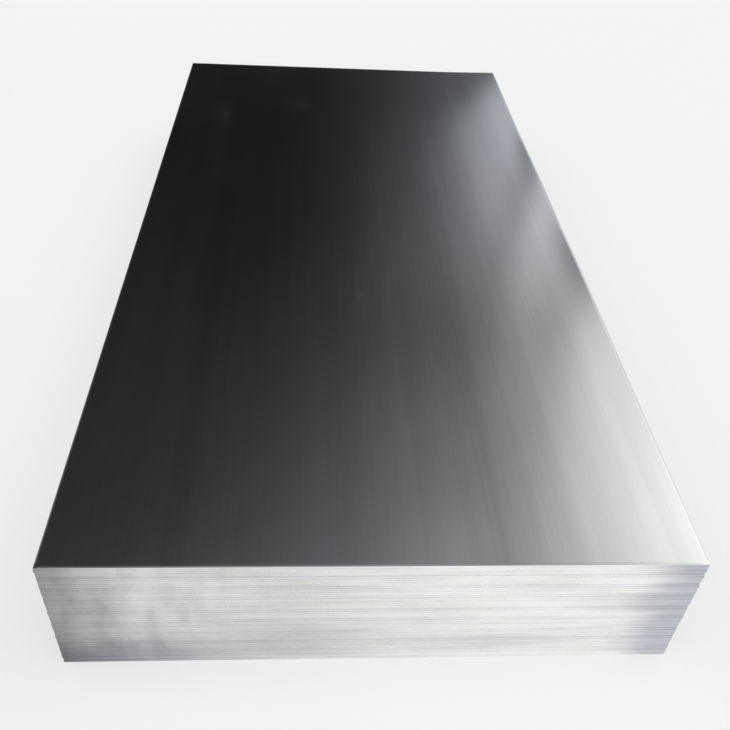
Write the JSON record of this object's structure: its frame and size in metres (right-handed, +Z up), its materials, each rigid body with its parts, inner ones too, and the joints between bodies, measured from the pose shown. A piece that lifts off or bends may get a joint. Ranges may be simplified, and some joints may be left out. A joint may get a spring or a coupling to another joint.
{
  "type": "stack of steel plates",
  "caption": "Neat stack of flat rectangular sheared steel plates lying on each other, bright mill finish, raw stock for cutting, bending and welding.",
  "frame": {"origin": "middle of the stack's underside, on the surface it lies on", "axes": "+X across the plates, +Y along their length, +Z up through the stack"},
  "size_m": [1.0016, 2.0018, 0.25],
  "materials": {
    "mill_steel": "cold-rolled mill finish, satin, with bright sheared edges"
  },
  "bodies": {
    "root": {"plate_01": "mill_steel", "plate_02": "mill_steel", "plate_03": "mill_steel", "plate_04": "mill_steel", "plate_05": "mill_steel", "plate_06": "mill_steel", "plate_07": "mill_steel", "plate_08": "mill_steel", "plate_09": "mill_steel", "plate_10": "mill_steel", "plate_11": "mill_steel", "plate_12": "mill_steel", "plate_13": "mill_steel", "plate_14": "mill_steel", "plate_15": "mill_steel", "plate_16": "mill_steel", "plate_17": "mill_steel", "plate_18": "mill_steel", "plate_19": "mill_steel", "plate_20": "mill_steel", "plate_21": "mill_steel", "plate_22": "mill_steel", "plate_23": "mill_steel", "plate_24": "mill_steel", "plate_25": "mill_steel", "plate_26": "mill_steel", "plate_27": "mill_steel", "plate_28": "mill_steel", "plate_29": "mill_steel", "plate_30": "mill_steel", "plate_31": "mill_steel", "plate_32": "mill_steel", "plate_33": "mill_steel", "plate_34": "mill_steel", "plate_35": "mill_steel", "plate_36": "mill_steel", "plate_37": "mill_steel", "plate_38": "mill_steel", "plate_39": "mill_steel", "plate_40": "mill_steel", "plate_41": "mill_steel", "plate_42": "mill_steel", "plate_43": "mill_steel", "plate_44": "mill_steel", "plate_45": "mill_steel", "plate_46": "mill_steel", "plate_47": "mill_steel", "plate_48": "mill_steel", "plate_49": "mill_steel", "plate_50": "mill_steel"}
  },
  "joints": []
}
